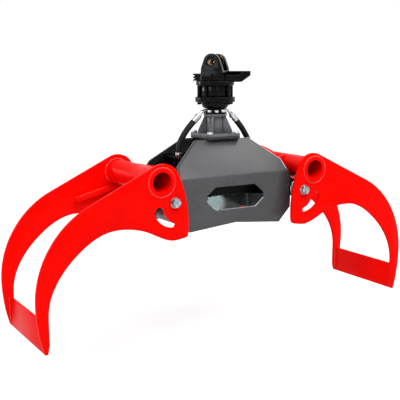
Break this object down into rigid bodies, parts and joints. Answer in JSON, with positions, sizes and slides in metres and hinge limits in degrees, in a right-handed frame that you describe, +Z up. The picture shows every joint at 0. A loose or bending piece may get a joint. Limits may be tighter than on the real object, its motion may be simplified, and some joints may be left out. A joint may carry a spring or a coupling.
{
  "type": "log grapple",
  "caption": "Hydraulic log grapple: curved claws on a bent-plate housing close by one horizontal cylinder under a turning rotator with a link bracket.",
  "frame": {"origin": "on the floor under the middle of the housing, at the centre of the bounding box's base", "axes": "+X the claws' opening direction, +Y along the logs (the pictured front faces -Y), +Z up"},
  "size_m": [1.58, 0.409, 0.9715],
  "materials": {
    "claw_paint": "gloss red paint",
    "housing_paint": "satin dark grey paint",
    "adapter_paint": "satin grey paint",
    "rotator_paint": "gloss black paint",
    "cylinder_paint": "satin dark paint",
    "zinc": "zinc plated",
    "pin_steel": "ground steel",
    "rod_chrome": "hard chrome",
    "bronze": "worn bronze",
    "hose_rubber": "matt black"
  },
  "bodies": {
    "housing": {"front_plate": "housing_paint", "rear_plate": "housing_paint", "front_web": "housing_paint", "rear_web": "housing_paint", "web_gussets": "housing_paint", "pivot_bosses": "housing_paint", "pivot_bushes": "pin_steel", "mounting_plate": "housing_paint", "adapter_flange": "adapter_paint", "adapter_tube": "adapter_paint", "adapter_gussets": "adapter_paint", "adapter_top": "adapter_paint", "flange_bolts": "zinc", "rotor_hub": "rotator_paint", "neck_bolts": "zinc", "rotor_shaft": "pin_steel", "hose_left": "hose_rubber", "hose_right": "hose_rubber", "hose_elbows": "zinc", "hose_ferrules": "zinc", "bulkhead_unions": "zinc", "hose_brackets": "housing_paint"},
    "rotator": {"rotator_lower_flange": "rotator_paint", "rotator_motor_body": "rotator_paint", "rotator_upper_flange": "rotator_paint", "tie_bolts": "zinc", "thrust_bearing": "pin_steel", "shaft_seal": "hose_rubber", "link_bracket": "rotator_paint", "ear_bushes": "bronze", "bracket_bolt": "zinc", "side_arm": "rotator_paint", "port_block": "rotator_paint"},
    "claw_left": {"left_front_side": "claw_paint", "left_rear_side": "claw_paint", "left_cross_tube": "claw_paint", "left_blade": "claw_paint", "left_ribs": "claw_paint", "left_lugs": "claw_paint", "left_pivot_pin": "pin_steel", "left_pin_bolts": "zinc", "left_cylinder_pin": "pin_steel"},
    "claw_right": {"right_front_side": "claw_paint", "right_rear_side": "claw_paint", "right_cross_tube": "claw_paint", "right_blade": "claw_paint", "right_ribs": "claw_paint", "right_lugs": "claw_paint", "right_pivot_pin": "pin_steel", "right_pin_bolts": "zinc", "right_cylinder_pin": "pin_steel"},
    "barrel": {"cylinder_barrel": "cylinder_paint", "cylinder_cap": "cylinder_paint", "cylinder_gland": "pin_steel", "cylinder_ports": "cylinder_paint"},
    "rod": {"cylinder_rod": "rod_chrome", "piston": "pin_steel", "piston_seal": "hose_rubber", "rod_eye": "cylinder_paint"}
  },
  "joints": [
    {"name": "claw_left_swing", "type": "hinge", "parent": "housing", "child": "claw_left", "pos_m": [-0.28, 0, 0.46], "axis": [0, -1, 0], "range_deg": [0, 70.5]},
    {"name": "claw_right_swing", "type": "hinge", "parent": "housing", "child": "claw_right", "pos_m": [0.28, 0, 0.46], "axis": [0, 1, 0], "range_deg": [0, 70.5]},
    {"name": "barrel_pin", "type": "hinge", "parent": "claw_left", "child": "barrel", "pos_m": [-0.229, 0, 0.532], "axis": [0, 1, 0], "range_deg": [0, 70.5]},
    {"name": "rod_pin", "type": "hinge", "parent": "claw_right", "child": "rod", "pos_m": [0.229, 0, 0.532], "axis": [0, -1, 0], "range_deg": [0, 70.5]},
    {"name": "rotator_spin", "type": "hinge", "parent": "housing", "child": "rotator", "pos_m": [0, 0, 0.79225], "axis": [0, 0, 1], "continuous": true}
  ],
  "couplings": [
    {"joint": "claw_right_swing", "follows": "claw_left_swing", "ratio": 1},
    {"joint": "barrel_pin", "follows": "claw_left_swing", "ratio": 1},
    {"joint": "rod_pin", "follows": "claw_left_swing", "ratio": 1}
  ]
}
